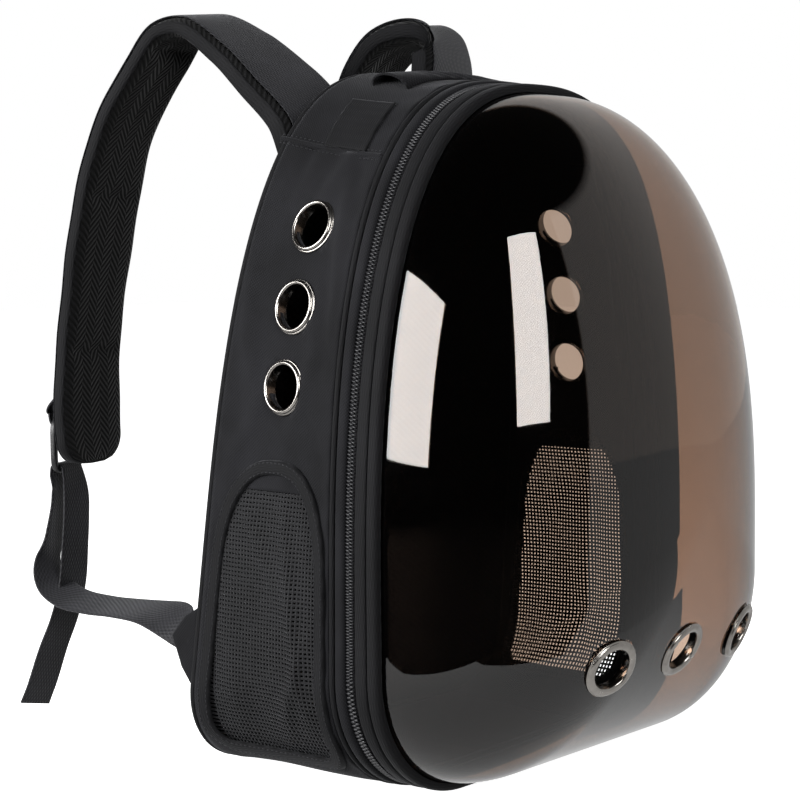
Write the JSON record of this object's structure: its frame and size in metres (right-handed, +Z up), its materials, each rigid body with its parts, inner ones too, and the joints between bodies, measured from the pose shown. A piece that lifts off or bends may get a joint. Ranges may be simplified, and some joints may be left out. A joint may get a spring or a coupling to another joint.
{
  "type": "pet carrier backpack",
  "caption": "Arched soft backpack for a small pet, with a tinted clear dome as its front, net side windows, metal air eyelets and padded shoulder straps.",
  "frame": {"origin": "middle of the underside, on the surface the bag stands on", "axes": "+Z up, +X across the bag, -Y towards the dome, +Y towards the wearer's back and the straps"},
  "size_m": [0.2966, 0.4257, 0.4323],
  "materials": {
    "polyester": "woven black polyester",
    "binding": "black grosgrain binding and piping",
    "zip": "black nylon coil on woven tape",
    "padding": "black air mesh over foam",
    "net": "black square net",
    "webbing": "black ribbed webbing",
    "dome": "clear brown-tinted polycarbonate, polished",
    "nickel": "dark nickel plate, polished",
    "buckle": "black moulded acetal"
  },
  "bodies": {
    "root": {"bottom_panel": "polyester", "top_panel": "polyester", "side_panel_left": "polyester", "side_panel_right": "polyester", "side_eyelet_left_1": "nickel", "side_eyelet_left_2": "nickel", "side_eyelet_left_3": "nickel", "side_eyelet_right_1": "nickel", "side_eyelet_right_2": "nickel", "side_eyelet_right_3": "nickel", "net_window_left": "net", "net_window_right": "net", "window_binding_left": "binding", "window_binding_right": "binding", "front_rim": "binding", "zip": "zip", "zip_slider": "nickel", "rear_rim": "binding", "rim_piping": "binding", "back_panel": "padding", "back_binding": "binding", "dome": "dome", "dome_eyelet_1": "nickel", "dome_eyelet_2": "nickel", "dome_eyelet_3": "nickel", "shoulder_strap_left": "padding", "shoulder_strap_right": "padding", "buckle_left": "buckle", "buckle_right": "buckle", "buckle_loop_left": "webbing", "buckle_loop_right": "webbing", "webbing_left": "webbing", "webbing_right": "webbing", "strap_tab_left": "polyester", "strap_tab_right": "polyester", "top_sleeve": "webbing", "side_patch_left": "webbing", "side_patch_right": "webbing"}
  },
  "joints": []
}
